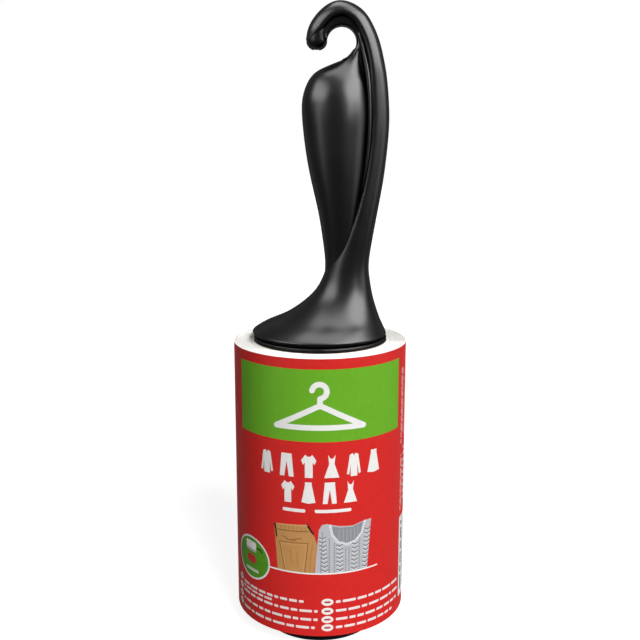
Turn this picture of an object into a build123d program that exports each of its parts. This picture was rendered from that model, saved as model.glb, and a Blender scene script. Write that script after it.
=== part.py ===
from build123d import *
import os
from math import cos, radians, sin

# Hand-held lint roller with a hook handle and a slip-off adhesive refill.
# The part stands on the drum's foot. The roll's axis is Z, the origin is the centre of the foot,
# the handle is above the roll, and the hook curls over towards -X. The handle is split into a front
# half (-Y) and a back half (+Y). All sizes are in millimetres.

# ---- Refill: a cardboard core, the wound adhesive strip, its outermost sheet and the printed wrap
sheet_width = 100.0  # width of the adhesive strip, which is the roll's length
core_bore = 45.0
core_wall = 1.5
wound_thickness = 6.6  # radial build of the wound strip
outer_sheet_thickness = 0.18
wrap_thickness = 0.18
wrap_seam = 0.8  # slit left where the printed wrap's two edges meet
sheet_cut = 0.4  # slit where the outermost sheet ends and the next begins
winding_gap = 0.02  # between one wound layer and the next

# ---- Drum: the tube that the refill slips over, its top flange and its foot
drum_wall = 1.8
rib_height = 0.6
rib_count = 8
rib_width = 1.6
core_clearance = 0.1  # between the drum's ribs and the core's bore
foot_drop = 8.0  # how far the foot stands below the roll
foot_inset = 1.2  # foot radius is this much less than the core's bore
foot_floor = 2.0
foot_edge = 1.5
spigot_wall = 1.6
spigot_length = 6.0
plug_clearance = 0.1  # between a spigot and the drum's bore
flange_thickness = 1.4
flange_overhang = -0.1  # flange radius less the core's outer radius
refill_end_play = 0.2
hub_wall = 2.6
hub_length = 8.0
hub_web = 2.0
hub_web_rise = 6.5  # lower hub web above the drum's lower end
gusset_count = 6
gusset_thickness = 1.4
gusset_setback = 1.0
plug_end_gap = 1.0  # between the foot's spigot and the lower hub's web

# ---- Spindle: fixed in the handle, the drum turns on it
journal_radius = 6.0
tip_journal_radius = 5.0
journal_clearance = 0.08
stem_web = 2.4
stem_relief = 0.4  # the cross-shaped stem is this much smaller than the journal
upper_journal_length = 10.0
barb_overhang = 0.9  # beyond the tip's journal
barb_height = 2.6
tip_slot = 2.0
tip_slot_depth = 14.0
thrust_gap = 0.3
collar_overhang = 2.5  # beyond the upper journal
collar_thickness = 2.0
key_side = 8.0
key_height = 6.0

# ---- Handle: dome, neck, grip lobe and hook
dome_gap = 0.4  # running gap between the flange and the dome's rim
dome_height = 26.0  # rim to the narrowest place of the neck
dome_overhang = 0.2  # dome radius less the core's outer radius
neck_left = 1.8
neck_right = 17.4
neck_depth = 8.2
grip_length = 61.0  # neck to the foot of the hook
grip_depth = 12.0
shell_wall = 2.2
web_half_thickness = 4.0
hook_bore_radius = 5.0
hook_centre_x = 7.4
hook_rise = 14.3  # centre of the hook's bore above the end of the grip
hook_tip_radius = 3.1
bar_depth = 5.4
plate_thickness = 1.5
plate_setback = 0.8  # plates stop this far above the rim
peg_radius = 1.5
peg_length = 5.0
peg_clearance = 0.12
boss_wall = 1.6
seat_clearance = 0.1  # around the spindle's head in the handle
cradle_wall = 1.8
cradle_ledge = 1.6  # under the collar

# ---- Heights and radii that follow from those
core_radius = core_bore / 2 + core_wall
barb_radius = tip_journal_radius + barb_overhang
collar_radius = journal_radius + collar_overhang
strip_inner_radius = core_radius + winding_gap
strip_outer_radius = strip_inner_radius + wound_thickness
sheet_inner_radius = strip_outer_radius + winding_gap
sheet_outer_radius = sheet_inner_radius + outer_sheet_thickness
wrap_inner_radius = sheet_outer_radius + winding_gap
wrap_outer_radius = wrap_inner_radius + wrap_thickness
rib_radius = core_bore / 2 - core_clearance
drum_radius = rib_radius - rib_height
drum_bore_radius = drum_radius - drum_wall
spigot_radius = drum_bore_radius - plug_clearance
foot_radius = core_bore / 2 - foot_inset
flange_radius = core_radius + flange_overhang
dome_radius = core_radius + dome_overhang
roll_bottom = foot_drop
roll_top = roll_bottom + sheet_width
drum_top = roll_top + refill_end_play
flange_top = drum_top + flange_thickness
rim_z = flange_top + dome_gap
neck_z = rim_z + dome_height
grip_end_z = neck_z + grip_length
hook_centre_z = grip_end_z + hook_rise
collar_bottom = rim_z + cradle_ledge
collar_top = collar_bottom + collar_thickness
key_top = collar_top + key_height
lower_hub_bottom = roll_bottom + hub_web_rise - hub_length / 2 + hub_web / 2
lower_hub_top = lower_hub_bottom + hub_length
barb_top = lower_hub_bottom - thrust_gap
stem_bottom = lower_hub_top + thrust_gap
stem_top = drum_top - upper_journal_length

os.makedirs("parts", exist_ok=True)


def write(piece, name):
    """Names the finished piece and writes its STEP file."""
    piece.part.label = name
    export_step(piece.part, f"parts/{name}.step")


def tube_on(height, outer_radius, inner_radius, length):
    """Adds an upright tube that starts at a height to the part being built."""
    with BuildSketch(Plane.XY.offset(height)) as ring:
        Circle(outer_radius)
        Circle(inner_radius, mode=Mode.SUBTRACT)
    extrude(ring.sketch, amount=length)


# =====================================================================  refill

# Cardboard core: a plain spiral-wound tube.
with BuildPart() as core_tube:
    tube_on(roll_bottom, core_radius, core_bore / 2, sheet_width)
write(core_tube, "core_tube")

# The wound strip: every turn under the outermost sheet, bonded to the next by its own adhesive.
with BuildPart() as wound_sheets:
    tube_on(roll_bottom, strip_outer_radius, strip_inner_radius, sheet_width)
write(wound_sheets, "wound_sheets")

# The outermost adhesive sheet, one turn with a cross cut where the next sheet starts.
with BuildPart() as outer_sheet:
    tube_on(roll_bottom, sheet_outer_radius, sheet_inner_radius, sheet_width)
    with BuildSketch(Plane.XY.offset(roll_bottom)):
        with Locations((-sheet_outer_radius, 0)):
            Rectangle(3 * outer_sheet_thickness, sheet_cut)
    extrude(amount=sheet_width, mode=Mode.SUBTRACT)
write(outer_sheet, "outer_sheet")

# The printed wrap around the whole roll, with its seam at the back.
with BuildPart() as printed_wrap:
    tube_on(roll_bottom, wrap_outer_radius, wrap_inner_radius, sheet_width)
    with BuildSketch(Plane.XY.offset(roll_bottom)):
        with Locations((0, wrap_outer_radius)):
            Rectangle(wrap_seam, 3 * wrap_thickness)
    extrude(amount=sheet_width, mode=Mode.SUBTRACT)
write(printed_wrap, "printed_wrap")

# =====================================================================  drum

# Drum tube: ribs outside grip the core, a web near the foot carries the lower bearing.
with BuildPart() as roller_drum:
    tube_on(roll_bottom, drum_radius, drum_bore_radius, drum_top - roll_bottom)
    with BuildSketch(Plane.XY.offset(roll_bottom)):
        with PolarLocations(drum_radius, rib_count):
            Rectangle(2 * rib_height, rib_width)
        Circle(drum_radius - rib_height / 2, mode=Mode.SUBTRACT)
        Circle(rib_radius, mode=Mode.INTERSECT)
    extrude(amount=sheet_width)
    with BuildSketch(Plane.XY.offset(roll_bottom + hub_web_rise)):
        Circle(drum_bore_radius + drum_wall / 2)
    extrude(amount=hub_web)
    with BuildSketch(Plane.XY.offset(lower_hub_bottom)):
        Circle(tip_journal_radius + hub_wall)
    extrude(amount=hub_length)
    with Locations(Location((0, 0, lower_hub_top))):
        Hole(tip_journal_radius + journal_clearance, depth=hub_length)
write(roller_drum, "roller_drum")

# Top flange: keeps the refill off the handle and carries the upper bearing.
with BuildPart() as drum_flange:
    with BuildSketch(Plane.XY.offset(drum_top)):
        Circle(flange_radius)
    extrude(amount=flange_thickness)
    fillet(drum_flange.edges().group_by(Axis.Z)[-1], radius=flange_thickness / 3)
    tube_on(drum_top - spigot_length, spigot_radius, spigot_radius - spigot_wall, spigot_length)
    with BuildSketch(Plane.XY.offset(drum_top - hub_length)):
        Circle(journal_radius + journal_clearance + hub_wall)
    extrude(amount=hub_length)
    with BuildSketch(Plane.XY.offset(drum_top - spigot_length + gusset_setback)):
        with PolarLocations(0, gusset_count // 2, angular_range=180, endpoint=False):
            Rectangle(2 * (spigot_radius - spigot_wall / 2), gusset_thickness)
    extrude(amount=spigot_length - gusset_setback)
    with Locations(Location((0, 0, flange_top))):
        Hole(journal_radius + journal_clearance, depth=flange_thickness + hub_length)
write(drum_flange, "drum_flange")

# Foot: a cup that closes the drum's lower end and stands below the roll.
with BuildPart() as drum_foot:
    with BuildSketch():
        Circle(foot_radius)
    extrude(amount=foot_drop)
    fillet(drum_foot.faces().sort_by(Axis.Z)[0].edges(), radius=foot_edge)
    with BuildSketch(Plane.XY.offset(foot_drop)):
        Circle(spigot_radius)
    extrude(amount=hub_web_rise - plug_end_gap)
    with BuildSketch(Plane.XY.offset(foot_floor)):
        Circle(spigot_radius - spigot_wall)
    extrude(amount=foot_drop + hub_web_rise, mode=Mode.SUBTRACT)
write(drum_foot, "drum_foot")

# =====================================================================  spindle

# Moulded shaft: square key and collar held by the handle, two journals, a cross-shaped stem
# between them, and a slotted barb that snaps through the drum's lower hub.
with BuildPart() as spindle:
    with BuildSketch(Plane.XY.offset(collar_top)):
        Rectangle(key_side, key_side)
    extrude(amount=key_height)
    chamfer(spindle.faces().sort_by(Axis.Z)[-1].edges(), length=key_side / 12)
    with BuildSketch(Plane.XY.offset(collar_bottom)):
        Circle(collar_radius)
    extrude(amount=collar_thickness)
    with BuildSketch(Plane.XY.offset(stem_top)):
        Circle(journal_radius)
    extrude(amount=collar_bottom - stem_top)
    with BuildSketch(Plane.XY.offset(stem_bottom)):
        with PolarLocations(0, 2, angular_range=180, endpoint=False):
            Rectangle(2 * (journal_radius - stem_relief), stem_web)
    extrude(amount=stem_top - stem_bottom)
    with BuildSketch(Plane.XY.offset(barb_top)):
        Circle(tip_journal_radius)
    extrude(amount=stem_bottom - barb_top)
    with BuildSketch(Plane.XY.offset(barb_top - barb_height)):
        Circle(tip_journal_radius - stem_relief)
    with BuildSketch(Plane.XY.offset(barb_top)):
        Circle(barb_radius)
    loft()
    with BuildSketch(Plane.XZ):
        with Locations((0, barb_top - barb_height + tip_slot_depth / 2)):
            Rectangle(tip_slot, tip_slot_depth)
    extrude(amount=barb_radius + 1, both=True, mode=Mode.SUBTRACT)
write(spindle, "spindle")

# =====================================================================  handle

# The handle's outer form is two bodies that cross. The sweep runs from the dome's rim up the neck
# and the right side, over the top and round to the hook's tip. The lobe runs from the dome's left
# shoulder up into the palm grip. Where the sweep lies over the lobe there is a crease.
# Share of the way from neck to rim, then how far the left side and the front have flared there.
flare = [
    (0.24, 0.058, 0.05),
    (0.47, 0.215, 0.19),
    (0.71, 0.535, 0.50),
    (0.83, 0.800, 0.77),
    (0.94, 0.965, 0.955),
    (0.98, 0.995, 0.99),
    (1.00, 0.975, 0.975),
]
# Share of the grip's length, then the sweep's left and right edges and its half depth.
sweep_up_grip = [
    (0.00, 4.6, 17.4, 8.2),
    (0.15, 8.4, 18.7, 7.8),
    (0.29, 11.4, 20.2, 7.4),
    (0.46, 13.9, 21.9, 7.0),
    (0.64, 15.5, 23.1, 6.6),
    (0.82, 16.6, 23.6, 6.2),
    (1.00, 16.6, 22.9, 5.8),
]
# The lobe's root, sunk in the dome: share of the way from neck to rim, left and right edges, half depth.
lobe_root = [
    (0.54, 2.0, 14.0, 6.0),
    (0.27, 1.6, 14.5, 6.2),
]
# Share of the grip's length, then the lobe's left and right edges and its share of the grip depth.
lobe_up_grip = [
    (0.00, 1.8, 13.0, 0.55),
    (0.14, 0.9, 13.2, 0.69),
    (0.29, -0.6, 13.6, 0.81),
    (0.45, -2.8, 14.4, 0.91),
    (0.62, -4.8, 15.4, 0.98),
    (0.78, -6.0, 16.1, 1.00),
    (0.87, -6.3, 16.2, 0.98),
    (0.95, -5.8, 15.9, 0.90),
    (1.00, -4.9, 15.6, 0.81),
]
# Top of the lobe: height above the end of the grip, left and right edges, half depth.
lobe_top = [
    (2.3, -3.6, 15.2, 7.8),
    (4.2, -1.4, 14.8, 6.2),
    (6.0, 1.6, 14.5, 4.7),
    (8.0, 6.5, 14.3, 3.4),
    (9.6, 9.9, 14.1, 2.6),
]
# Hook bar: place relative to the bore's centre, heading in degrees from +X, half width.
hook_bar = [
    (11.8, -7.8, 99, 2.9),
    (10.2, -0.9, 105, 2.75),
    (8.0, 4.6, 115, 2.65),
    (4.9, 8.8, 136, 2.5),
    (0.0, 10.9, 178, 2.45),
    (-4.4, 9.4, 208, 2.5),
    (-7.2, 6.0, 236, 2.65),
    (-8.6, 2.9, 252, 2.85),
    (-8.8, 0.3, 268, hook_tip_radius),
]
tip_x = hook_centre_x + hook_bar[-1][0]
tip_z = hook_centre_z + hook_bar[-1][1]


def level(height, left, right, half_depth):
    """Ellipse in a level plane, between a left and a right edge."""
    with BuildSketch(Plane.XY.offset(height)) as section:
        with Locations(((left + right) / 2, 0)):
            Ellipse((right - left) / 2, half_depth)
    return section.sketch


def across(x, z, heading, half_width, half_depth):
    """Ellipse square to a path that runs in the middle plane with a heading."""
    turn = radians(heading)
    plane = Plane(origin=(x, 0, z), x_dir=(sin(turn), 0, -cos(turn)), z_dir=(cos(turn), 0, sin(turn)))
    with BuildSketch(plane) as section:
        Ellipse(half_width, half_depth)
    return section.sketch


def dome_level(share, left_flare, front_flare, inset, sliver):
    """Section of the dome: the neck at share 0 grows to the round rim at share 1."""
    height = neck_z - share * dome_height
    left = neck_left - (dome_radius + neck_left) * left_flare + sliver
    right = neck_right + (dome_radius - neck_right) * share**2 * (1 - 0.02 * (share == 1))
    half_depth = neck_depth + (dome_radius - neck_depth) * front_flare
    return level(height, left + inset, right - inset, half_depth - inset)


crease_sliver = 0.7  # at the neck, the sweep's left edge lies this far inside the lobe's


def sweep_sections(inset, count):
    """The first so many level sections of the sweep, from the rim up, drawn in by an inset."""
    dome = [dome_level(s, lf, ff, inset, crease_sliver * (1 - s)) for s, lf, ff in reversed(flare)]
    grip = [
        level(neck_z + s * grip_length, lt + inset, rt - inset, d - inset) for s, lt, rt, d in sweep_up_grip
    ]
    return (dome + grip)[:count]


def lobe_sections(inset):
    """Level sections of the lobe from its root in the dome up to the end of the grip."""
    roots = [level(neck_z - s * dome_height, lt + inset, rt - inset, d - inset) for s, lt, rt, d in lobe_root]
    palm = [
        level(neck_z + s * grip_length, lt + inset, rt - inset, d * grip_depth - inset)
        for s, lt, rt, d in lobe_up_grip
    ]
    return roots + palm


# Both halves' outer form in one piece: the sweep with its bar and rounded tip, the lobe and the web.
with BuildPart() as handle_form:
    bar = [across(hook_centre_x + x, hook_centre_z + z, h, w, bar_depth) for x, z, h, w in hook_bar]
    tip = [
        across(tip_x, tip_z - hook_tip_radius * sin(a), 270, hook_tip_radius * cos(a), bar_depth * cos(a))
        for a in (radians(30), radians(55), radians(75))
    ]
    loft(sections=sweep_sections(0, len(flare) + len(sweep_up_grip)) + bar + tip)
    crown = [level(grip_end_z + z, lt, rt, d) for z, lt, rt, d in lobe_top]
    loft(sections=lobe_sections(0) + crown)
    # The flat web joins the lobe, the bar and the hook, with the hook's round bore in its edge.
    with BuildSketch(Plane.XZ):
        with BuildLine():
            bore = CenterArc((hook_centre_x, hook_centre_z), hook_bore_radius, -40, 220)
            over = Spline(
                [(hook_centre_x + x, hook_centre_z + z) for x, z, h, w in hook_bar[:-1]]
                + [(tip_x, tip_z)]
            )
            Line(over @ 1, (tip_x, tip_z - hook_tip_radius + 0.5))
            Line((tip_x, tip_z - hook_tip_radius + 0.5), bore @ 1)
            Polyline(
                bore @ 0,
                (hook_centre_x + 1.2, grip_end_z + 8.8),
                (hook_centre_x - 1.4, grip_end_z + 2),
                (neck_right - 4.6, neck_z + 0.3 * grip_length),
                (neck_right - 1.2, neck_z + 0.3 * grip_length),
                (hook_centre_x + hook_bar[0][0] + 0.6, grip_end_z),
                over @ 0,
            )
        make_face()
    extrude(amount=web_half_thickness, both=True)

# The space that is cored out of the two halves, open at the dome's rim.
with BuildPart() as handle_core:
    loft(sections=sweep_sections(shell_wall, len(flare) + 3), ruled=True)
    loft(sections=lobe_sections(shell_wall), ruled=True)

# Inside work: the cradle for the spindle's head, plates across the grip and the pegs' bosses.
peg_places = [
    (-dome_radius * 0.64, rim_z + dome_height * 0.17),
    (dome_radius * 0.70, rim_z + dome_height * 0.17),
    ((neck_left + neck_right) / 2, neck_z + 0.06 * grip_length),
    ((neck_left + neck_right) / 2 - 2.4, neck_z + 0.47 * grip_length),
    ((neck_left + neck_right) / 2 - 4.0, neck_z + 0.91 * grip_length),
]
plate_shares = [0.2, 0.35, 0.6, 0.77]
with BuildPart() as handle_fittings:
    with BuildSketch(Plane.XY.offset(rim_z)):
        Circle(collar_radius + seat_clearance + cradle_wall)
    extrude(amount=key_top + cradle_wall - rim_z)
    with BuildSketch(Plane.XY.offset(rim_z + plate_setback)):
        for angle in (-40, 40):
            Rectangle(2 * dome_radius, plate_thickness, rotation=angle)
    extrude(amount=key_top - rim_z)
    for share in plate_shares:
        with BuildSketch(Plane.XY.offset(neck_z + share * grip_length)):
            Rectangle(4 * grip_depth, 4 * grip_depth)
        extrude(amount=plate_thickness)
    with BuildSketch(Plane.XZ):
        with Locations(*peg_places):
            Circle(peg_radius + boss_wall)
    extrude(amount=dome_radius, both=True)
    add(handle_form.part, mode=Mode.INTERSECT)

with BuildPart() as handle_whole:
    add(handle_form.part)
    add(handle_core.part, mode=Mode.SUBTRACT)
    add(handle_fittings.part)
    with BuildSketch(Plane.XY.offset(rim_z)):
        Circle(journal_radius + seat_clearance)
    extrude(amount=cradle_ledge, mode=Mode.SUBTRACT)
    with BuildSketch(Plane.XY.offset(collar_bottom)):
        Circle(collar_radius + seat_clearance)
    extrude(amount=collar_thickness, mode=Mode.SUBTRACT)
    with BuildSketch(Plane.XY.offset(collar_top)):
        Rectangle(key_side + 2 * seat_clearance, key_side + 2 * seat_clearance)
    extrude(amount=key_height + seat_clearance, mode=Mode.SUBTRACT)

# Front half, with the pegs that locate the back half.
with BuildPart() as handle_front_half:
    add(handle_whole.part)
    split(bisect_by=Plane.XZ, keep=Keep.TOP)
    with BuildSketch(Plane.XZ):
        with Locations(*peg_places):
            Circle(peg_radius)
    extrude(amount=-peg_length)
write(handle_front_half, "handle_front_half")

# Back half, with the blind holes for those pegs.
with BuildPart() as handle_back_half:
    add(handle_whole.part)
    split(bisect_by=Plane.XZ, keep=Keep.BOTTOM)
    with BuildSketch(Plane.XZ):
        with Locations(*peg_places):
            Circle(peg_radius + peg_clearance)
    extrude(amount=-(peg_length + peg_clearance), mode=Mode.SUBTRACT)
write(handle_back_half, "handle_back_half")
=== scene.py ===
import math

import bmesh
import bpy
import numpy as np
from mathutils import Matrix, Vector
from mathutils.geometry import delaunay_2d_cdt


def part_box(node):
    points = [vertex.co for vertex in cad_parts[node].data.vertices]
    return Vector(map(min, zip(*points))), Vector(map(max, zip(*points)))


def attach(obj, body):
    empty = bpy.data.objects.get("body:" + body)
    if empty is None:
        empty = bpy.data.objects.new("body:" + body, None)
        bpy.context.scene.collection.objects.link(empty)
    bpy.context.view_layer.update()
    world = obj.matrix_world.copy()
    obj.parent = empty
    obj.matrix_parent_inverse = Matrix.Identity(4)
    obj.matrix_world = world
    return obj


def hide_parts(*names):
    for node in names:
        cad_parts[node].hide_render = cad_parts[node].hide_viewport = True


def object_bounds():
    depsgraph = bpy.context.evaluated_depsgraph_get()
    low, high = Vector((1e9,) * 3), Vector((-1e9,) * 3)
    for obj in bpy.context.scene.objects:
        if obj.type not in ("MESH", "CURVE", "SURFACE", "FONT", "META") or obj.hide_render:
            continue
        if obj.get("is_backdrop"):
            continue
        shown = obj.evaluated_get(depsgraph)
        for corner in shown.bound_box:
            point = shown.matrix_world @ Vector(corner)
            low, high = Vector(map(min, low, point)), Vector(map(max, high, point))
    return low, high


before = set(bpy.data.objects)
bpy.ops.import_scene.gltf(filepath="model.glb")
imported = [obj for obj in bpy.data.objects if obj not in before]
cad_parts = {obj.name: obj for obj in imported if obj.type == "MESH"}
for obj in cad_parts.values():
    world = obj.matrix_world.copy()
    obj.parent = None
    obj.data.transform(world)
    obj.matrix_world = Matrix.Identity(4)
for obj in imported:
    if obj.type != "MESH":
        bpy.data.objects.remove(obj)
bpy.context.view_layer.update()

# ---------------------------------------------------------------- handle
# Two black moulded halves, front and back, glued over locating pegs. A sweep rises from the round
# dome, runs up the outer side and turns over into the hook, with a rounded tip. Beside it are the
# fuller palm lobe, a slim rib, and a thin web, set back, that follows the round of the hook.
mm = 0.001
handle_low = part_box("handle_back_half")[0]
rim = handle_low.z / mm  # heights below are in millimetres, in the part's own frame
dome_height, dome_radius = 26.0, 24.2
neck = rim + dome_height
neck_left, neck_right, neck_deep = 1.8, 17.4, 8.2
grip = 61.0  # neck to the root of the hook
root = neck + grip
hook_x, hook_z, hook_bore = 7.4, root + 14.3, 5.0


def through(values, steps):
    """Natural cubic spline through rows of values, one unit of parameter apart, at the given steps.

    The second derivatives M solve M[i-1] + 4 M[i] + M[i+1] = 6 (v[i-1] - 2 v[i] + v[i+1]), with
    M = 0 at both ends, and each span is the cubic that those and the two end values give.
    """
    v = np.asarray(values, float)
    n = len(v)
    a = np.eye(n)
    inner = np.arange(1, n - 1)
    a[inner, inner - 1], a[inner, inner], a[inner, inner + 1] = 1, 4, 1
    b = np.zeros_like(v)
    b[1:-1] = 6 * (v[:-2] - 2 * v[1:-1] + v[2:])
    m = np.linalg.solve(a, b)
    i = np.clip(np.floor(steps).astype(int), 0, n - 2)
    t = (np.asarray(steps) - i)[:, None]
    return (
        m[i] * (1 - t) ** 3 / 6
        + m[i + 1] * t**3 / 6
        + (v[i] - m[i] / 6) * (1 - t)
        + (v[i + 1] - m[i + 1] / 6) * t
    )


def limb(stations, rings, around, cap=0, cap_length=1.0):
    """Rings round a path in the middle plane, as an array of ring by point by XYZ.

    A station is the ring's left end x, z, its right end x, z, its half depth, its squareness and
    its tilt. A ring's point at angle a is the middle, plus cos(a) towards the right end, plus
    sin(a) half depths to the front, both raised to 2 / squareness: 2 is an ellipse, more is
    squarer. Tilt makes it deeper at the left than at the right, by 1 - tilt cos(a). A cap adds
    rings that shrink by cos(b) as they move on by sin(b) half widths, which rounds the end.
    """
    s = through(stations, np.linspace(0, len(stations) - 1, rings))
    middle = (s[:, 0:2] + s[:, 2:4]) / 2
    half = (s[:, 2:4] - s[:, 0:2]) / 2
    deep, square, tilt = s[:, 4:].T
    if cap:
        b = np.linspace(0, math.pi / 2, cap + 2)[1:-1][:, None]
        onward = np.array([-half[-1, 1], half[-1, 0]]) * cap_length
        middle = np.vstack([middle, middle[-1] + np.sin(b) * onward])
        half = np.vstack([half, np.cos(b) * half[-1]])
        deep = np.append(deep, np.cos(b) * deep[-1])
        square = np.append(square, np.full(cap, square[-1]))
        tilt = np.append(tilt, np.full(cap, tilt[-1]))
    a = np.linspace(0, 2 * math.pi, around, endpoint=False)
    power = (2 / square)[:, None]
    side = np.sign(np.cos(a)) * np.abs(np.cos(a)) ** power
    front = np.sign(np.sin(a)) * np.abs(np.sin(a)) ** power * deep[:, None]
    front = front * (1 - tilt[:, None] * side)
    x = middle[:, :1] + half[:, :1] * side
    z = middle[:, 1:] + half[:, 1:] * side
    return np.stack([x, -front, z], axis=-1)


def skin(points, name):
    """A closed mesh from rings of points: quads from ring to ring, and a face over each end."""
    rings, around = points.shape[:2]
    i = np.arange(rings - 1)[:, None] * around
    j = np.arange(around)[None, :]
    k = (j + 1) % around
    quads = np.stack([i + j, i + k, i + around + k, i + around + j], axis=-1).reshape(-1, 4)
    ends = [list(range(around))[::-1], list(range((rings - 1) * around, rings * around))]
    mesh = bpy.data.meshes.new(name)
    mesh.from_pydata((points.reshape(-1, 3) * mm).tolist(), [], quads.tolist() + ends)
    work = bmesh.new()
    work.from_mesh(mesh)
    bmesh.ops.recalc_face_normals(work, faces=work.faces)
    work.to_mesh(mesh)
    work.free()
    return mesh


def put(mesh, name, body):
    """A new object that shows the mesh and rides on a body."""
    piece = bpy.data.objects.new(name, mesh)
    bpy.context.scene.collection.objects.link(piece)
    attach(piece, body)
    return piece


def level(z, left, right, deep, square, tilt=0.0):
    """Station of a level ring between a left and a right edge."""
    return (left, z, right, z, deep, square, tilt)


def across(x, z, heading, wide, deep, square, tilt):
    """Station of a ring square to a heading, in degrees from +X, with a half width."""
    turn = math.radians(heading)
    dx, dz = wide * math.sin(turn), wide * math.cos(turn)
    return (x - dx, z + dz, x + dx, z - dz, deep, square, tilt)


# The dome: share of the way from neck to rim, then how far the left side and the front have
# flared. Past the lip, which is its widest ring, the right side draws in as the left does.
lip = 0.96
flare = [
    (1.00, 0.962, 0.962),
    (0.984, 0.988, 0.988),
    (lip, 1.0, 1.0),
    (0.925, 0.974, 0.966),
    (0.83, 0.800, 0.77),
    (0.71, 0.535, 0.50),
    (0.47, 0.215, 0.19),
    (0.24, 0.058, 0.05),
]
sweep = []
for share, left_flare, front_flare in flare:
    left = neck_left - (dome_radius + neck_left) * left_flare + 0.4 * (1 - share)
    drawn_in = dome_radius * (1 - left_flare if share > lip else 0)
    right = neck_right + (dome_radius - neck_right) * share**2 - drawn_in
    front = neck_deep + (dome_radius - neck_deep) * front_flare
    sweep.append(level(neck - dome_height * share, left, right, front, 2.0 + 0.25 * (1 - share)))
# Up the grip: share of its length, left and right edge, half depth, squareness, tilt.
for share, *ring in [
    (0.00, 3.1, neck_right, neck_deep, 2.3, 0.0),
    (0.15, 7.2, 18.7, 7.9, 2.4, 0.05),
    (0.29, 10.7, 20.2, 7.5, 2.4, 0.12),
    (0.46, 13.9, 22.0, 6.8, 2.5, 0.2),
    (0.64, 15.7, 23.3, 6.3, 2.5, 0.2),
    (0.82, 16.3, 23.9, 5.9, 2.5, 0.2),
    (1.00, 15.9, 23.2, 5.6, 2.5, 0.22),
]:
    sweep.append(level(neck + share * grip, *ring))
# The hook's bar: place from the bore's centre, heading, half width, half depth.
bar = [
    (11.5, -7.8, 99, 3.25, 5.7),
    (9.9, -0.9, 105, 3.1, 5.5),
    (7.7, 4.4, 115, 3.0, 5.4),
    (4.6, 8.5, 137, 2.9, 5.3),
    (0.0, 10.4, 178, 2.95, 5.3),
    (-4.2, 9.1, 208, 2.85, 5.3),
    (-7.2, 6.25, 234, 2.75, 5.2),
    (-9.35, 3.3, 244, 2.3, 4.8),
    (-11.3, 0.9, 236, 0.9, 3.3),
]
for x, z, heading, wide, deep in bar:
    sweep.append(across(hook_x + x, hook_z + z, heading, wide, deep - 0.2, 2.5, 0.26))
# The hook's rounded tip, which swells out from under the bar's pointed end.
tip = [
    across(hook_x + x, hook_z + z, heading, wide, deep, 2.15, 0.1)
    for x, z, heading, wide, deep in [
        (-2.6, 9.6, 196, 1.7, 3.0),
        (-5.6, 7.6, 220, 2.2, 3.7),
        (-7.3, 5.2, 238, 2.75, 4.3),
        (-8.3, 2.7, 253, 3.25, 4.6),
        (-8.5, 0.3, 268, 3.55, 4.5),
    ]
]
# A slim rib in the valley between bar and lobe: height, left and right edge, half depth.
rib = [
    level(z, left, right, deep, 2.3)
    for z, left, right, deep in [
        (neck + 20, 11.9, 14.4, 5.0),
        (neck + 31, 14.0, 16.7, 6.7),
        (neck + 41, 15.0, 17.9, 7.0),
        (neck + 51, 15.3, 18.3, 6.8),
        (root, 14.9, 17.9, 6.2),
        (root + 6.5, 14.0, 17.0, 5.5),
        (root + 10.5, 13.3, 16.0, 5.0),
        (root + 14.3, 12.7, 15.0, 4.4),
        (root + 17.6, 12.0, 13.9, 3.4),
    ]
]

# The palm lobe: its root inside the dome, then up the grip by share of its length.
lobe = [level(neck - 14, 2.0, 14.0, 6.0, 2.0), level(neck - 7, 1.5, 14.5, 6.1, 2.0)]
for share, left, right, deep in [
    (0.00, 1.8, 13.4, 6.5),
    (0.14, 0.9, 13.6, 8.0),
    (0.29, -0.6, 14.3, 9.6),
    (0.45, -2.8, 15.5, 10.9),
    (0.62, -4.8, 16.6, 11.7),
    (0.78, -6.0, 17.2, 12.0),
    (0.87, -6.3, 17.2, 11.7),
    (0.94, -5.9, 16.8, 11.0),
]:
    lobe.append(level(neck + share * grip, left, right, deep, 2.1))
# The crown's rings lean over towards the hook: left end, right end, half depth.
for ax, az, bx, bz, deep in [
    (-4.2, 1.0, 16.3, 0.2, 9.4),
    (-1.4, 4.3, 15.6, 2.9, 7.6),
    (2.3, 6.2, 15.1, 5.6, 5.9),
    (5.6, 7.5, 14.8, 8.2, 4.7),
    (8.8, 9.0, 14.6, 11.0, 3.9),
    (11.2, 11.6, 14.8, 13.6, 3.3),
]:
    lobe.append((ax, root + az, bx, root + bz, deep, 2.1, 0.0))

# The web's outline in the middle plane: round the bore, under the bar, down the sweep, up the lobe
# and over its crown. Its half depth, and the radius that rounds its edge.
web_depth, web_round = 3.6, 1.3
bore_points, crown_points, fading = 44, 10, 6
arc = np.radians(np.linspace(-22, 178, bore_points))
round_bore = np.stack([hook_x + hook_bore * np.cos(arc), hook_z + hook_bore * np.sin(arc)], axis=1)
under_bar = [(hook_x + x, hook_z + z) for x, z, *_ in bar[::-1]]
down_sweep = [
    (19.6, root),
    (20.2, neck + 50),
    (19.4, neck + 38),
    (17.0, neck + 20),
    (15.6, neck + 12),
]
up_lobe = [
    (11.5, neck + 12),
    (11.0, neck + 30),
    (11.0, neck + 50),
    (9.0, root),
    (7.4, root + 5),
    (7.6, root + 8.3),
]
over_crown = [(8.6, root + 8.8), (9.9, root + 9.7), (11.1, root + 10.8), (11.8, root + 12.0)]
outline = np.vstack(
    [
        round_bore,
        through(under_bar, np.linspace(1.6, len(bar) - 1, 40)),
        through(down_sweep, np.linspace(0, len(down_sweep) - 1, 16)),
        through(up_lobe, np.linspace(0, len(up_lobe) - 1, 20)),
        through(over_crown, np.linspace(0, len(over_crown) - 1, crown_points)),
    ]
)
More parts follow.
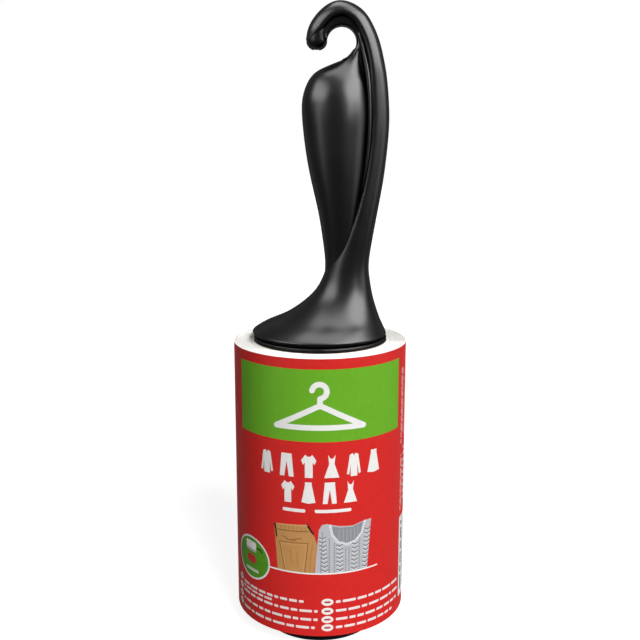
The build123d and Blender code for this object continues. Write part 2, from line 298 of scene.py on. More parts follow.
along = np.roll(outline, -1, axis=0) - np.roll(outline, 1, axis=0)
length = np.maximum(1e-9, np.hypot(*along.T))
inward = np.stack([along[:, 1], -along[:, 0]], axis=1) / length[:, None]
shown = np.zeros((len(outline), 1))  # the edge is rounded only where it shows, at the bore
shown[: bore_points - fading, 0] = 1
shown[bore_points - fading : bore_points, 0] = np.linspace(1, 0, fading)
shown[-crown_points:, 0] = np.linspace(0, 1, crown_points)
ease = np.radians([0, 22, 45, 68, 90])
layers = [(web_depth - web_round * (1 - math.sin(b)), web_round * (1 - math.cos(b))) for b in ease]
layers = [(-y, inset) for y, inset in layers[::-1]] + [(y, inset) for y, inset in layers]
web = []
for y, inset in layers:
    edge = outline + inset * shown * inward
    web.append(np.stack([edge[:, 0], np.full(len(edge), y), edge[:, 1]], axis=1))
web = np.stack(web)


def union(meshes):
    """The union of closed meshes, as one new closed mesh."""
    tools = [bpy.data.objects.new(m.name, m) for m in meshes]
    for tool in tools:
        bpy.context.scene.collection.objects.link(tool)
    for tool in tools[1:]:
        step = tools[0].modifiers.new("union", "BOOLEAN")
        step.operation, step.solver, step.object = "UNION", "EXACT", tool
    bpy.context.view_layer.update()
    joined = tools[0].evaluated_get(bpy.context.evaluated_depsgraph_get())
    whole = bpy.data.meshes.new_from_object(joined)
    for tool in tools:
        bpy.data.objects.remove(tool)
    return whole


def half_of(whole, name, side):
    """The part of a closed mesh on one side of the middle plane, closed again, its rim eased.

    Loops are cut at small distances from the plane, and the skin there moves in along its normal
    by the easing times (1 - distance / width) squared, so that two halves meet in a fine groove.
    Faces that cover one another, which the cut can leave, are taken out in pairs at the end.
    """
    width, easing = 0.6 * mm, 0.3 * mm
    least = 0.002 * mm  # points nearer than this are one point
    work = bmesh.new()
    work.from_mesh(whole)

    def cut(y, facing, **options):
        everything = work.verts[:] + work.edges[:] + work.faces[:]
        place, normal = (0, -side * y, 0), (0, facing, 0)
        bmesh.ops.bisect_plane(work, geom=everything, plane_co=place, plane_no=normal, **options)

    for share in (1.0, 0.6, 0.3):
        cut(width * share, 1)
    cut(0, side, clear_outer=True)
    work.normal_update()
    for v in work.verts:
        near = 1 - min(1, abs(v.co.y) / width)
        if near > 0 and v.co.z > (rim + 0.5) * mm:
            v.co -= v.normal * easing * near**2
            if near > 0.999:  # on the plane, where it stays
                v.co.y = 0
    bmesh.ops.remove_doubles(work, verts=work.verts, dist=least)
    bmesh.ops.dissolve_degenerate(work, edges=work.edges, dist=least)
    bmesh.ops.holes_fill(work, edges=[e for e in work.edges if e.is_boundary])
    cut_faces = {f for f in work.faces if all(abs(v.co.y) < least / 2 for v in f.verts)}
    to_split = [f for f in work.faces if len(f.verts) > 4 or f in cut_faces]
    bmesh.ops.triangulate(work, faces=to_split)
    covering = {}
    for face in work.faces:
        covering.setdefault(frozenset(face.verts), []).append(face)
    doubled = [f for same in covering.values() if len(same) > 1 for f in same]
    bmesh.ops.delete(work, geom=doubled, context="FACES")
    mesh = bpy.data.meshes.new(name)
    work.to_mesh(mesh)
    work.free()
    mesh.shade_smooth()
    mesh.set_sharp_from_angle(angle=math.radians(32))
    return mesh


whole = union(
    [
        skin(limb(sweep, 300, 128, cap=10, cap_length=0.85), "sweep"),
        skin(limb(lobe, 220, 128), "lobe"),
        skin(web, "web"),
        skin(limb(tip, 60, 96, cap=10, cap_length=0.85), "tip"),
        skin(limb(rib, 120, 48), "rib"),
    ]
)
for name, side in (("handle_front", 1), ("handle_back", -1)):
    half = put(half_of(whole, name, side), name, "handle")
    half.data.validate()
    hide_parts(name + "_half")


def srgb(red, green, blue):
    """A colour given as it looks, 0 to 255, as the linear one that a shader takes."""
    c = np.array([red, green, blue]) / 255
    c = np.where(c <= 0.04045, c / 12.92, ((c + 0.055) / 1.055) ** 2.4)
    return (*c.tolist(), 1.0)


class nodes_of:
    """A material of one principled shader, with short ways to add the textures that vary it."""

    def __init__(self, name, colour, roughness, specular=0.5):
        self.material = bpy.data.materials.new(name)
        self.material.use_nodes = True
        self.tree = self.material.node_tree
        self.link = self.tree.links.new
        self.bsdf = self.tree.nodes["Principled BSDF"]
        self.bsdf.inputs["Base Color"].default_value = colour
        self.bsdf.inputs["Roughness"].default_value = roughness
        self.bsdf.inputs["Specular IOR Level"].default_value = specular
        self.spot = self.add("TexCoord")

    def add(self, kind, **values):
        """A node of a kind, with its inputs set by name."""
        node = self.tree.nodes.new("ShaderNode" + kind)
        for key, value in values.items():
            node.inputs[key].default_value = value
        return node

    def place(self):
        """Where a point is on the object, in metres."""
        return self.spot.outputs["Object"]

    def stretch(self, scale):
        """Where a point is on the object, scaled along each axis."""
        node = self.add("Mapping", Scale=scale)
        self.link(self.place(), node.inputs["Vector"])
        return node.outputs["Vector"]

    def from_axis(self, scale):
        """How far a point is from the roll's axis, times a scale."""
        far = self.add("VectorMath")
        far.operation = "LENGTH"
        self.link(self.stretch((scale, scale, 0)), far.inputs[0])
        return far.outputs["Value"]

    def noise(self, scale, detail, roughness, at=None):
        """A noise over the object, or over another place that is given."""
        node = self.add("TexNoise", Scale=scale, Detail=detail, Roughness=roughness)
        self.link(self.place() if at is None else at, node.inputs["Vector"])
        return node.outputs["Fac"]

    def ramp(self, value, stops):
        """A colour that goes from stop to stop as the value does."""
        node = self.add("ValToRGB")
        while len(node.color_ramp.elements) < len(stops):
            node.color_ramp.elements.new(0.5)
        for element, (at, colour) in zip(node.color_ramp.elements, stops):
            element.position, element.color = at, colour
        self.link(value, node.inputs["Fac"])
        return node.outputs["Color"]

    def tint(self, value, stops):
        """Colours the surface by a value."""
        self.link(self.ramp(value, stops), self.bsdf.inputs["Base Color"])

    def mix(self, share, a, b, way="MIX"):
        """Colour a with colour b over it, by a share that is a number or an output."""
        node = self.add("Mix")
        node.data_type, node.blend_type = "RGBA", way
        if isinstance(share, float):
            node.inputs["Factor"].default_value = share
        else:
            self.link(share, node.inputs["Factor"])
        self.link(a, node.inputs[6])
        self.link(b, node.inputs[7])
        return node.outputs[2]

    def scaled(self, value, given, taken, socket):
        """Drives an input of the shader by a value, from one range of it to another."""
        node = self.add("MapRange")
        node.inputs["From Min"].default_value, node.inputs["From Max"].default_value = given
        node.inputs["To Min"].default_value, node.inputs["To Max"].default_value = taken
        self.link(value, node.inputs["Value"])
        self.link(node.outputs["Result"], self.bsdf.inputs[socket])

    def sheen_range(self, value, low, high):
        """Varies the roughness from low to high, as a value goes from 0.3 to 0.7."""
        self.scaled(value, (0.3, 0.7), (low, high), "Roughness")

    def glancing(self, square_on, aslant):
        """A gloss that goes from one level, seen square on, to another at a glancing angle."""
        facing = self.add("LayerWeight", Blend=0.5).outputs["Facing"]
        self.scaled(facing, (0.0, 0.8), (square_on, aslant), "Specular IOR Level")

    def bump(self, value, strength, distance):
        """Roughens the surface by a height, given in metres."""
        node = self.add("Bump", Strength=strength, Distance=distance)
        self.link(value, node.inputs["Height"])
        self.link(node.outputs["Normal"], self.bsdf.inputs["Normal"])


def dress(piece, look):
    """Gives a piece one material, in place of any that it has."""
    piece.data.materials.clear()
    piece.data.materials.append(look.material)


gloss = nodes_of("handle_plastic", colour=(0.001, 0.001, 0.001, 1), roughness=0.3, specular=0.05)
grain = gloss.noise(420, 4, 0.6, gloss.stretch((1, 1, 0.35)))
smear = gloss.noise(34, 3, 0.55)
gloss.tint(smear, [(0.35, (0.0006, 0.0006, 0.0006, 1)), (0.7, (0.0015, 0.0015, 0.0014, 1))])
gloss.sheen_range(smear, 0.3, 0.38)
gloss.glancing(0.055, 0.001)
gloss.bump(grain, 0.1, 0.00006)
for name in ("handle_front", "handle_back"):
    dress(bpy.data.objects[name], gloss)

# ---------------------------------------------------------------- core
# The tube that the strip is wound on: grey-brown board, wound from strips of paper in a spiral and
# cut square to the width of the roll. It slips over the ribs of the drum.
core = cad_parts["core_tube"]
board = nodes_of("core_board", colour=srgb(176, 146, 108), roughness=0.85)
fibre = board.noise(900, 6, 0.7, board.stretch((1, 1, 0.25)))
lap = board.add("TexWave", Scale=9, Distortion=1.5, Detail=2)
lap.wave_type, lap.bands_direction = "BANDS", "DIAGONAL"
board.link(board.place(), lap.inputs["Vector"])
board.tint(
    fibre,
    [(0.3, srgb(146, 117, 84)), (0.5, srgb(176, 146, 108)), (0.72, srgb(196, 168, 130))],
)
board.bump(fibre, 0.35, 0.0001)
board.sheen_range(lap.outputs["Fac"], 0.78, 0.92)
dress(core, board)

# ---------------------------------------------------------------- wound strip
# Thirty-three turns of white paper with adhesive on its outer face, seen from its cut edges: a
# fine groove lies between each turn and the next, and the turns run in one spiral, not in rings.
wound_low, wound_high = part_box("wound_sheets")
core_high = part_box("core_tube")[1]
foot_z, top_z = wound_low.z / mm, wound_high.z / mm
inner_r, outer_r = core_high.x / mm + 0.02, wound_high.x / mm


def wound(name, turns, step, around, across):
    """A thick ring wound from a strip, as a closed surface of revolution with spiral cut edges.

    The ring's profile goes out over the top edge, down the outside, in under the bottom edge and up
    the inside. On both edges the height at angle a and share t across the wall falls short of the
    full height by the step times half of 1 - cos(2 pi (turns t - a / 2 pi)), a groove per turn.
    """
    full = 2 * math.pi
    t = np.linspace(0, 1, turns * across + 1)
    a = np.linspace(0, full, around, endpoint=False)[:, None]
    groove = step * (1 - np.cos(full * (turns * t[None, :] - a / full))) / 2
    fade = np.minimum(1, np.minimum(t, 1 - t) * turns)
    radius = inner_r + (outer_r - inner_r) * t
    r = np.concatenate([radius, radius[::-1]])[None, :] * np.ones_like(a)
    z = np.concatenate([top_z - groove * fade, (foot_z + groove * fade)[:, ::-1]], axis=1)
    points = np.stack([r * np.sin(a), -r * np.cos(a), z], axis=-1)
    return ring_skin(points, name)


def ring_skin(points, name):
    """A closed mesh from profiles round an axis: quads that wrap both round it and along them."""
    around, along = points.shape[:2]
    i = np.arange(around)[:, None]
    j = np.arange(along)[None, :]
    i2, j2 = (i + 1) % around, (j + 1) % along
    quads = [i * along + j, i2 * along + j, i2 * along + j2, i * along + j2]
    quads = np.stack(quads, axis=-1).reshape(-1, 4)
    mesh = bpy.data.meshes.new(name)
    mesh.from_pydata((points.reshape(-1, 3) * mm).tolist(), [], quads.tolist())
    work = bmesh.new()
    work.from_mesh(mesh)
    bmesh.ops.recalc_face_normals(work, faces=work.faces)
    work.to_mesh(mesh)
    work.free()
    mesh.shade_smooth()
    mesh.set_sharp_from_angle(angle=math.radians(50))
    return mesh


strip = wound("wound_strip", turns=33, step=0.09, around=360, across=4)
strip = put(strip, "wound_strip", "refill")
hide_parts("wound_sheets")
edges = nodes_of("strip_edges", colour=srgb(238, 236, 230), roughness=0.62, specular=0.3)
turn_shade = edges.add("TexNoise", Scale=1.0, Detail=3, Roughness=0.75)
turn_shade.noise_dimensions = "1D"
edges.link(edges.from_axis(2200), turn_shade.inputs["W"])
nap = edges.noise(1800, 3, 0.6)
edges.tint(
    turn_shade.outputs["Fac"],
    [(0.34, srgb(222, 220, 212)), (0.44, srgb(243, 242, 236)), (0.7, srgb(250, 249, 245))],
)
edges.glancing(0.3, 0.05)
edges.bump(nap, 0.2, 0.00005)
dress(strip, edges)

# ---------------------------------------------------------------- outer sheet
# The last turn of the strip, under the wrap: the same white paper, cut through down its side where
# this sheet is to be torn off. Its adhesive face is glossier than the cut edges.
sheet = nodes_of("sheet_adhesive", colour=srgb(240, 239, 233), roughness=0.3)
speck = sheet.noise(700, 4, 0.6)
sheet.tint(speck, [(0.3, srgb(232, 230, 222)), (0.65, srgb(243, 242, 237))])
sheet.bump(speck, 0.15, 0.00005)
dress(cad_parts["outer_sheet"], sheet)

# ---------------------------------------------------------------- printed wrap
# One turn of coated paper that keeps the roll clean until it is used, printed flat, with its ends
# meeting at the back. All its print is generic: rows of small garments and plain bars where a pack
# has its wording, a garment hanger on the band, and drawings of folded clothes and of a roller.
wrap_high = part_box("printed_wrap")[1]
wrap_r, wrap_wall, seam = wrap_high.x / mm, 0.18, 0.8
half_turn = math.pi * wrap_r - seam / 2
wrap_tall = top_z - foot_z
chance = np.random.default_rng(5)
red, white, green, grass = (223, 46, 43), (252, 251, 248), (112, 182, 44), (92, 160, 40)
pale = (250, 240, 238)  # small print
ink_list = []


def ink(points, colour):
    """Adds a flat shape to the print, over those before it."""
    ink_list.append((np.asarray(points, float), srgb(*colour)))


def disc(s, z, wide, tall=None, around=56):
    """An ellipse's outline about s, z, with its half width and half height."""
    a = np.linspace(0, 2 * math.pi, around, endpoint=False)
    return np.stack([s + wide * np.cos(a), z + (tall or wide) * np.sin(a)], axis=1)


def pad(s0, z0, s1, z1, r):
    """An upright rectangle's outline, from corner to corner, with each corner rounded."""
    shape = []
    for s, z, turn in (
        (s1 - r, z1 - r, 0),
        (s0 + r, z1 - r, 90),
        (s0 + r, z0 + r, 180),
        (s1 - r, z0 + r, 270),
    ):
        for t in np.radians([0, 30, 60, 90]) + math.radians(turn):
            shape.append((s + r * math.cos(t), z + r * math.sin(t)))
    return shape


def stroke(path, wide, colour):
    """Inks a line through points, as a round-ended capsule per span."""
    for start, end in zip(path[:-1], path[1:]):
        (s0, z0), (s1, z1) = start, end
        a = math.atan2(z1 - z0, s1 - s0) + np.linspace(-math.pi / 2, math.pi / 2, 7)
        bow = wide / 2 * np.stack([np.cos(a), np.sin(a)], axis=1)
        ink(np.vstack([end + bow, start - bow]), colour)


def words(s0, s1, z, tall, colour, upright=False):
    """Inks a row of plain bars of word-like lengths, from s0 to s1, centred on z."""
    at = s0
    while at < s1 - tall:
        long = min(tall * chance.uniform(1.6, 5.2), s1 - at)
        box = (at, z - tall / 2, at + long, z + tall / 2)
        if upright:
            box = (z - tall / 2, at, z + tall / 2, at + long)
        ink(pad(*box, r=tall * 0.3), colour)
        at += long + tall * 0.75


# A plain green band, with a garment hanger in white at its middle.
ink(pad(-33.4, 71.3, 33.6, 96.4, r=0.05), green)
hook_root = 83.9  # where the hanger's hook leaves its shoulders
hanger = [(-15.4, -7.6), (-1.6, -0.6), (0, 0), (1.6, -0.6), (15.4, -7.6), (-15.4, -7.6)]
hanger = [(s, hook_root + z) for s, z in hanger]
crook = [(0, hook_root), (0, hook_root + 2.4)]
for t in np.radians(np.linspace(5, 262, 11)):
    crook.append((2.5 * math.sin(t) - 0.2, hook_root + 5 - 2.5 * math.cos(t)))
for path in (hanger, crook):
    stroke(path, 1.9, white)

# Headings, as two rows of small garments in place of words, each in a unit square.
top = [(0, 0.76), (0.27, 1), (0.4, 0.92), (0.6, 0.92), (0.73, 1), (1, 0.76)]
top += [(0.88, 0.56), (0.76, 0.66), (0.76, 0), (0.24, 0), (0.24, 0.66), (0.12, 0.56)]
long_top = [(0, 0.12), (0.2, 0.94), (0.4, 1), (0.5, 0.9), (0.6, 1), (0.8, 0.94), (1, 0.12)]
long_top += [(0.84, 0.08), (0.74, 0.56), (0.74, 0), (0.26, 0), (0.26, 0.56), (0.16, 0.08)]
trousers = [(0.14, 1), (0.86, 1), (1, 0), (0.66, 0), (0.5, 0.66), (0.34, 0), (0, 0)]
gown = [(0.26, 1), (0.4, 0.84), (0.6, 0.84), (0.74, 1), (0.68, 0.6), (1, 0), (0, 0), (0.32, 0.6)]
skirt = [(0.26, 1), (0.74, 1), (0.74, 0.88), (1, 0.06), (0.5, 0), (0, 0.06), (0.26, 0.88)]
upper = (long_top, trousers, top, gown, long_top, skirt)
lower = (top, skirt, trousers, gown)
for s0, s1, z0, z1, row in ((-23.4, 23.6, 58.6, 66.8, upper), (-14.9, 14.3, 49.3, 57.0, lower)):
    pitch = (s1 - s0) / len(row)
    for k, garment in enumerate(row):
        corner = np.array([s0 + pitch * (k + 0.17), z0])
        ink(np.array(garment) * (pitch * 0.66, z1 - z0) + corner, white)
for s0, s1 in ((-13.2, -5.0), (-1.8, 11.0)):  # two plain bars below them
    ink(pad(s0, 46, s1, 47.2, r=0.5), white)

# Folded trousers: waistband, fly, pocket with its seams, and soft creases.
tan, tan_dark, tan_light = (204, 152, 94), (160, 110, 62), (222, 176, 120)
cloth = [(-16.8, 40.6), (-14.9, 40.9), (-4.4, 41.6), (-2.6, 39.2), (-1.0, 34.4), (-1.6, 28.0)]
ink(cloth + [(-2.3, 23.6), (-15.4, 23.6), (-15.9, 31.0)], tan)
ink([(-16.8, 40.6), (-16.0, 40.7), (-15.4, 36.2), (-15.9, 35.2)], (58, 42, 32))
ink([(-4.9, 41.6), (-4.2, 42.1), (-2.3, 38.8), (-1.9, 37.6), (-2.9, 38.5)], (50, 38, 30))
ink([(-16.2, 38.8), (-3.8, 39.3), (-3.5, 38.9), (-16.1, 38.4)], tan_dark)
ink([(-14.9, 40.9), (-4.4, 41.6), (-4.2, 41.2), (-14.9, 40.5)], tan_light)
for s in np.linspace(-14, -5, 7):
    stroke([(s, 39.4), (s - 0.1, 40.4)], 0.16, tan_dark)
for wide, colour, paths in (
    (
        0.34,
        tan_dark,
        [
            [(-14.6, 34.4), (-4.1, 34.8)],
            [(-14.6, 34.4), (-12.6, 24.0)],
            [(-4.1, 34.8), (-4.9, 27.8), (-5.3, 24.0)],
            [(-13.6, 36.6), (-10.8, 35.5), (-6.5, 36.4)],
            [(-11.8, 35.6), (-8.5, 35.4)],
        ],
    ),
    (
        0.14,
        tan_light,
        [
            [(-14.0, 33.8), (-12.1, 24.2)],
            [(-4.8, 34.2), (-5.9, 24.2)],
            [(-13.9, 33.8), (-4.8, 34.2)],
        ],
    ),
    (
        0.5,
        (190, 138, 82),
        [
            [(-2.6, 34.5), (-3.3, 29.0), (-3.6, 24.2)],
            [(-10.6, 32.0), (-9.9, 27.0)],
            [(-8.0, 31.0), (-7.7, 26.0)],
        ],
    ),
):
    for path in paths:
        stroke(path, wide, colour)

# Folded jumper: ribbed neck, and columns of cable between rows of plain rib.
wool, wool_dark, wool_light = (196, 198, 202), (120, 122, 130), (236, 237, 240)
knit = [(-1.9, 23.6), (-1.1, 32.0), (-0.4, 39.8), (0.6, 41.6), (2.4, 42.0), (6.5, 41.0)]
ink(knit + [(11.5, 40.6), (15.0, 41.5), (18.9, 41.9), (18.2, 34.0), (17.2, 23.6)], wool)
opening = [(3.6, 41.2), (4.3, 38.0), (6.4, 35.4), (9.4, 34.2), (12.4, 35.0), (14.9, 37.4)]
ink(opening + [(16.0, 41.3), (14.2, 41.0), (11.5, 40.2), (6.5, 40.5)], (150, 152, 158))
neck_band = [(3.5, 41.3), (4.2, 37.8), (6.3, 35.1), (9.4, 34.0), (12.5, 34.8), (15.0, 37.3)]
stroke(neck_band + [(16.2, 41.4)], 0.9, wool_light)
for a in math.pi * np.linspace(1.02, 2.0, 24):
    out = np.array([math.cos(a), math.sin(a)])
    stitch = np.array([9.8, 40.6]) + out * (6.2, 6.5)
    stroke([stitch - 0.3 * out, stitch + 0.35 * out], 0.13, wool_dark)
for s, low, high in ((1.7, 24.2, 37.6), (7.0, 24.2, 33.2), (12.2, 24.2, 33.6), (16.4, 24.2, 38.6)):
    for z in np.arange(low, high, 1.5):
        mid = s + 0.0105 * (s - 9) * (z - low)  # the columns fan out a little upwards
        for way in (-1, 1):
            stroke([(mid + 1.1 * way, z + 0.9), (mid + 0.1 * way, z + 0.35)], 0.42, wool_dark)
        for way in (-1, 1):
            stroke([(mid + 0.95 * way, z + 0.45), (mid + 0.15 * way, z - 0.05)], 0.3, wool_light)
for s, high in ((3.2, 36.5), (5.0, 34.6), (9.0, 33.0), (10.2, 33.0), (14.2, 35.5)):
    for z in np.arange(24.0, high, 0.62):
        stroke([(s - 0.16, z), (s + 0.16, z + 0.18)], 0.26, wool_dark)
stroke([(0.2, 24.0), (0.9, 39.0)], 0.3, (150, 152, 157))
for s, z0, z1 in (
    (6.6, 36.0, 39.6),
    (8.0, 35.4, 39.6),
    (9.4, 35.2, 39.4),
    (10.8, 35.3, 39.4),
    (12.2, 35.8, 39.6),
    (13.5, 37.0, 40.0),
):
    stroke([(s, z0), (s + 0.1, z1)], 0.3, (176, 178, 183))

# A thin line under the garments, and the round badge with a small roller.
stroke([(s, 23.6) for s in np.linspace(-20.0, 21.7, 9)], 0.55, white)
ink(disc(-28.0, 24.3, 9.3, 8.1), white)
ink(disc(-28.0, 24.3, 8.6, 7.4), grass)
ink(pad(-31.6, 26.6, -25.4, 30.4, r=0.8), white)
ink(pad(-31.6, 26.6, -25.4, 27.6, r=0.3), (196, 196, 190))
stroke([(-24.9, 28.5), (-23.2, 28.5), (-22.4, 27.6)], 0.6, (40, 52, 30))
ink(pad(-30.9, 22.2, -25.6, 25.4, r=1.2), (208, 60, 60))
ink(pad(-31.8, 19.0, -24.2, 20.2, r=0.5), (214, 226, 196))

# Four rows of small print with tags, in two columns: height, and where each column's row ends.
for z, end, second_end in (
    (12.9, -4.2, 35.9),
    (9.5, -0.8, 35.4),
    (6.3, -0.8, 35.0),
    (3.2, -1.8, 31.0),
):
    ink(disc(-36.6, z + 0.6, 1.6, 1.25, 24), white)
    ink(pad(-37.4, z + 0.35, -35.8, z + 0.85, r=0.2), (190, 70, 66))
    words(-34.2, end, z, 0.95, pale)
    ink(disc(2.6, z, 2.1, 1.35, 24), white)
    ink(pad(1.5, z - 0.35, 3.7, z + 0.35, r=0.3), (196, 66, 62))
    words(5.6, second_end, z, 0.95, pale)
words(-34.2, -18.0, 11.3, 0.8, pale)

# At the right: small print up the side, and a white strip with plain bars.
for s, low, high in ((37.4, 64, 92), (38.6, 68, 92), (37.6, 38.5, 60), (38.8, 40, 58)):
    words(low, high, s, 0.7, (240, 206, 202), upright=True)
ink(pad(36.9, 4.6, 60.0, 36.0, r=0.6), white)
words(6.5, 34.0, 39.2, 1.3, (30, 30, 30), upright=True)
at = 6.8
while at < 33.4:
    thick = float(chance.choice([0.33, 0.66, 1.0]))
    ink(pad(41.6, at, 57.6, at + thick, r=0.02), (24, 24, 24))
    at += thick + float(chance.choice([0.35, 0.7]))

# Round the back: three picture boxes on how to use the roll, and blocks of small print.
for s, kind in ((48.5, "peel"), (64.0, "roll"), (79.5, "hang")):
    ink(pad(s - 6.6, 66.0, s + 6.6, 82.0, r=1.4), white)
    ink(pad(s - 6.1, 66.5, s + 6.1, 81.5, r=1.1), red)
    if kind == "peel":
        ink(pad(s - 2.6, 69.0, s + 2.6, 77.5, r=0.5), white)
        ink(disc(s, 77.5, 2.6, 0.8, 28), (226, 224, 218))
        ink([(s + 2.6, 69.0), (s + 4.8, 69.8), (s + 4.8, 78.0), (s + 2.6, 77.5)], (236, 234, 228))
    if kind == "roll":
        stroke([(s + 4.6, 78.6), (s + 1.6, 74.8)], 0.9, white)
        ink(pad(s - 4.4, 71.4, s + 2.4, 75.0, r=0.6), white)
        stroke([(s - 5.0, 69.6), (s - 2.0, 70.2), (s + 1.5, 69.4), (s + 5.0, 70.0)], 0.6, white)
    if kind == "hang":
        hook = [(s - 1.2, 79.0), (s + 1.0, 80.0), (s + 1.6, 78.6), (s + 0.4, 77.4), (s + 0.4, 74.6)]
        stroke(hook, 0.7, white)
        ink(pad(s - 1.6, 68.6, s + 2.4, 74.4, r=0.5), white)
for z in np.arange(61.5, 41.0, -2.4):
    words(40.5, 62.5 - (z % 3), z, 0.9, pale)
    words(66.0, 85.0 - (z % 4), z, 0.9, pale)
for z in np.arange(30.0, 8.0, -2.4):
    words(65.0, 92.0 - (z % 5), z, 0.9, pale)
for z in np.arange(58.0, 36.0, -2.4):
    words(-90.0, -52.0 - (z % 6), z, 0.95, pale)
ink(pad(-91.0, 66.0, -50.0, 91.0, r=1.6), white)
shirt = [(-4.8, 3.6), (-2.0, 6.0), (-1.0, 5.2), (1.0, 5.2), (2.0, 6.0), (4.8, 3.6)]
shirt += [(3.7, 1.4), (2.6, 2.4), (2.6, -5.4), (-2.6, -5.4), (-2.6, 2.4), (-3.7, 1.4)]
for s, colour in ((-84.0, (106, 178, 40)), (-70.5, (222, 38, 36)), (-57.0, tan)):
    ink(np.array(shirt) + (s, 79.0), colour)
for z in (30.0, 24.0, 18.0, 12.0):
    ink(disc(-86.0, z, 1.9, 1.3, 24), white)
    words(-82.0, -56.0, z, 1.1, pale)


def printed_sheet(name):
    """The wrap's outer face: the flat print cut into triangles, then bent round the roll.

    Upright cuts a millimetre apart let it bend, and each triangle takes the last ink laid over it.
    A flat point s, z goes to angle s / r, at r sin(angle), -r cos(angle) and the foot's height + z.
    """
    left, right = -half_turn, half_turn
    ground = np.array([(left, 0), (right, 0), (right, wrap_tall), (left, wrap_tall)])
    cuts = np.arange(-half_turn + 1, half_turn - 0.5, 1.0)
    shapes = []
    for p in [ground] + [points for points, _ in ink_list]:
        area = np.sum(p[:, 0] * np.roll(p[:, 1], -1) - p[:, 1] * np.roll(p[:, 0], -1))
        shapes.append(p if area > 0 else p[::-1])  # every outline runs the same way round
    bottoms = np.stack([cuts, np.zeros_like(cuts)], axis=1)
    flat = [Vector(p) for p in np.vstack(shapes + [bottoms, bottoms + (0, wrap_tall)]).tolist()]
    starts = np.cumsum([0] + [len(shape) for shape in shapes]).tolist()
    faces = [list(range(a, b)) for a, b in zip(starts[:-1], starts[1:])]
    lines = [(starts[-1] + k, starts[-1] + len(cuts) + k) for k in range(len(cuts))]
    points, _, faces, _, _, over = delaunay_2d_cdt(flat, lines, faces, 1, 1e-5, True)
    points = np.array([tuple(p) for p in points])
    angle = points[:, 0] / wrap_r
    bent = [wrap_r * np.sin(angle), -wrap_r * np.cos(angle), foot_z + points[:, 1]]
    bent = np.stack(bent, axis=1)
    mesh = bpy.data.meshes.new(name)
    mesh.from_pydata((bent * mm).tolist(), [], faces)
    colours = np.array([srgb(*red)] + [colour for _, colour in ink_list])
    picked = colours[[max(ids) if ids else 0 for ids in over]]
    layer = mesh.attributes.new("ink", "FLOAT_COLOR", "CORNER")
    layer.data.foreach_set("color", np.repeat(picked, 3, axis=0).ravel())
    mesh.shade_smooth()
    work = bmesh.new()
    work.from_mesh(mesh)
    bmesh.ops.dissolve_degenerate(work, dist=0.002 * mm, edges=work.edges)  # slivers between inks
    for e in work.edges:
        e.smooth = not e.is_boundary  # so that the cut edges of the paper stay crisp
    work.to_mesh(mesh)
    work.free()
    return mesh


wrap = put(printed_sheet("wrap"), "wrap", "refill")
wall = wrap.modifiers.new("paper", "SOLIDIFY")
wall.thickness, wall.offset = wrap_wall * mm, -1
wall.material_offset, wall.material_offset_rim = 1, 1
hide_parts("printed_wrap")
coat = nodes_of("printed_paper", colour=srgb(*red), roughness=0.36, specular=0.02)
layer = coat.add("Attribute")
layer.attribute_name = "ink"
tooth = coat.noise(520, 4, 0.6)
shade = coat.ramp(tooth, [(0.3, (0.93, 0.93, 0.93, 1)), (0.7, (1, 1, 1, 1))])
inked = coat.mix(1.0, layer.outputs["Color"], shade, "MULTIPLY")
coat.link(inked, coat.bsdf.inputs["Base Color"])
coat.sheen_range(tooth, 0.3, 0.42)
coat.glancing(0.03, 0.002)
slack = coat.noise(38, 1, 0.4, coat.stretch((1, 1, 0.3)))
coat.bump(slack, 0.25, 0.0002)
dress(wrap, coat)
inside = nodes_of("wrap_inside", colour=srgb(240, 238, 232), roughness=0.7)
pulp = inside.noise(1500, 4, 0.6)
inside.tint(pulp, [(0.3, srgb(226, 223, 215)), (0.7, srgb(243, 241, 236))])
wrap.data.materials.append(inside.material)

# ---------------------------------------------------------------- drum
# The ribbed tube that the core slips over, with the flange that the dome runs against and the foot
# that the roller stands on. All three are the handle's black plastic, as moulded, not polished.
plain = nodes_of("drum_plastic", colour=(0.002, 0.002, 0.002, 1), roughness=0.42, specular=0.04)
flow = plain.noise(260, 5, 0.65)
plain.tint(flow, [(0.3, (0.0015, 0.0015, 0.0015, 1)), (0.75, (0.0032, 0.0032, 0.0032, 1))])
plain.sheen_range(flow, 0.36, 0.5)
plain.glancing(0.04, 0.002)
plain.bump(flow, 0.12, 0.00008)
for name in ("roller_drum", "drum_flange", "drum_foot"):
    dress(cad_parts[name], plain)

# ---------------------------------------------------------------- spindle
# The turned and keyed shaft in the handle that the drum spins and snaps on: a slippery natural
# white plastic, left dull, with faint marks of wear round its journals.
shaft = nodes_of("spindle_plastic", colour=srgb(222, 220, 210), roughness=0.48)
rub = shaft.add("TexWave", Scale=160, Distortion=2.5, Detail=3)
rub.wave_type, rub.bands_direction = "BANDS", "Z"
shaft.link(shaft.place(), rub.inputs["Vector"])
shaft.tint(rub.outputs["Fac"], [(0.2, srgb(214, 211, 200)), (0.8, srgb(226, 224, 215))])
shaft.sheen_range(rub.outputs["Fac"], 0.4, 0.56)
dress(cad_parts["spindle"], shaft)

# ---------------------------------------------------------------- stage
# A floor that keeps the shadow under an even, dim world. Where they are looked at, both are white.
# One soft sun, and five cards that only a gloss sees, which draw the highlights on the handle.


def looked_at(tree):
    """1 where the camera sees a surface, itself or in a gloss or through glass, and 0 elsewhere."""
    path = tree.nodes.new("ShaderNodeLightPath")
    total = path.outputs["Is Camera Ray"]
    for name in ("Is Glossy Ray", "Is Transmission Ray"):
        higher = tree.nodes.new("ShaderNodeMath")
        higher.operation = "MAXIMUM"
        tree.links.new(total, higher.inputs[0])
        tree.links.new(path.outputs[name], higher.inputs[1])
        total = higher.outputs[0]
    return total


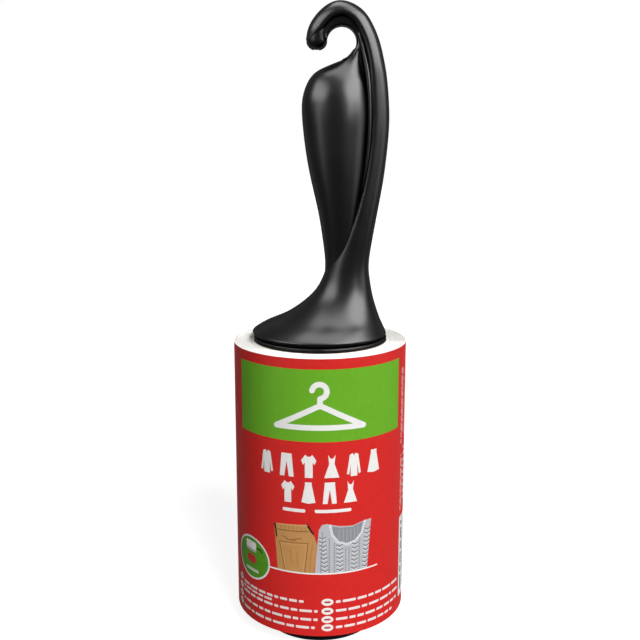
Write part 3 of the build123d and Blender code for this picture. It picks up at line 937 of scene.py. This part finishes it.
floor_mesh = bpy.data.meshes.new("floor")
floor_mesh.from_pydata([(-3, -3, 0), (3, -3, 0), (3, 3, 0), (-3, 3, 0)], [], [(0, 1, 2, 3)])
floor = bpy.data.objects.new("floor", floor_mesh)
bpy.context.scene.collection.objects.link(floor)
floor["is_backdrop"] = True
ground = nodes_of("floor", colour=(0.44, 0.44, 0.44, 1), roughness=0.9, specular=0.0)
glow = ground.add("Emission", Strength=0.88)
both = ground.add("AddShader")
pick = ground.add("MixShader")
ground.link(ground.bsdf.outputs[0], both.inputs[0])
ground.link(glow.outputs[0], both.inputs[1])
ground.link(looked_at(ground.tree), pick.inputs[0])
ground.link(ground.bsdf.outputs[0], pick.inputs[1])
ground.link(both.outputs[0], pick.inputs[2])
ground.link(pick.outputs[0], ground.tree.nodes["Material Output"].inputs[0])
dress(floor, ground)

world = bpy.data.worlds.new("studio")
bpy.context.scene.world = world
world.use_nodes = True
sky = world.node_tree
lighting = sky.nodes["Background"]
seen = sky.nodes.new("ShaderNodeBackground")
for background, strength in ((lighting, 0.08), (seen, 1.0)):
    background.inputs["Color"].default_value = (1, 1, 1, 1)
    background.inputs["Strength"].default_value = strength
mix = sky.nodes.new("ShaderNodeMixShader")
sky.links.new(looked_at(sky), mix.inputs[0])
sky.links.new(lighting.outputs[0], mix.inputs[1])
sky.links.new(seen.outputs[0], mix.inputs[2])
sky.links.new(mix.outputs[0], sky.nodes["World Output"].inputs[0])


def lamp(name, kind, azimuth, elevation, distance, **values):
    """A lamp that faces the handle, at an azimuth round it, 0 towards the camera."""
    data = bpy.data.lights.new(name, kind)
    for key, value in values.items():
        setattr(data, key, value)
    piece = bpy.data.objects.new(name, data)
    a, e = math.radians(azimuth), math.radians(elevation)
    out = Vector((math.sin(a) * math.cos(e), -math.cos(a) * math.cos(e), math.sin(e)))
    handle_middle = Vector((0, 0, 0.15))
    piece.location = handle_middle + out * distance
    piece.rotation_euler = out.to_track_quat("Z", "Y").to_euler()
    bpy.context.scene.collection.objects.link(piece)
    return piece


key = lamp("key", "SUN", 25, 37, 2.0, energy=3.0, angle=math.radians(24))
key.visible_glossy = False
for name, azimuth, elevation, wide, tall, power in (
    ("left_card", -62, 36, 0.74, 0.46, 66.0),
    ("right_card", 64, 34, 0.80, 0.56, 130.0),
    ("top_card", 56, 82, 0.5, 0.96, 84.0),
    ("left_strip", -58, 2, 0.26, 0.55, 9.0),
    ("right_strip", 88, 2, 0.34, 0.55, 9.0),
):
    sizes = {"shape": "RECTANGLE", "size": wide, "size_y": tall}
    card = lamp(name, "AREA", azimuth, elevation, 0.8, energy=power, **sizes)
    card.visible_diffuse = False

lens = bpy.data.cameras.new("camera")
camera = bpy.data.objects.new("camera", lens)
bpy.context.scene.collection.objects.link(camera)
lens.lens = 51.54
lens.sensor_width = 36
pitch = 11.5  # degrees, looking down
camera.location = (0.0, -0.3237, 0.1727 + foot_z * mm)
camera.rotation_euler = (math.radians(90 - pitch), 0, 0)
bpy.context.scene.camera = camera
bpy.context.scene.view_settings.view_transform = "Standard"

low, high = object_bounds()
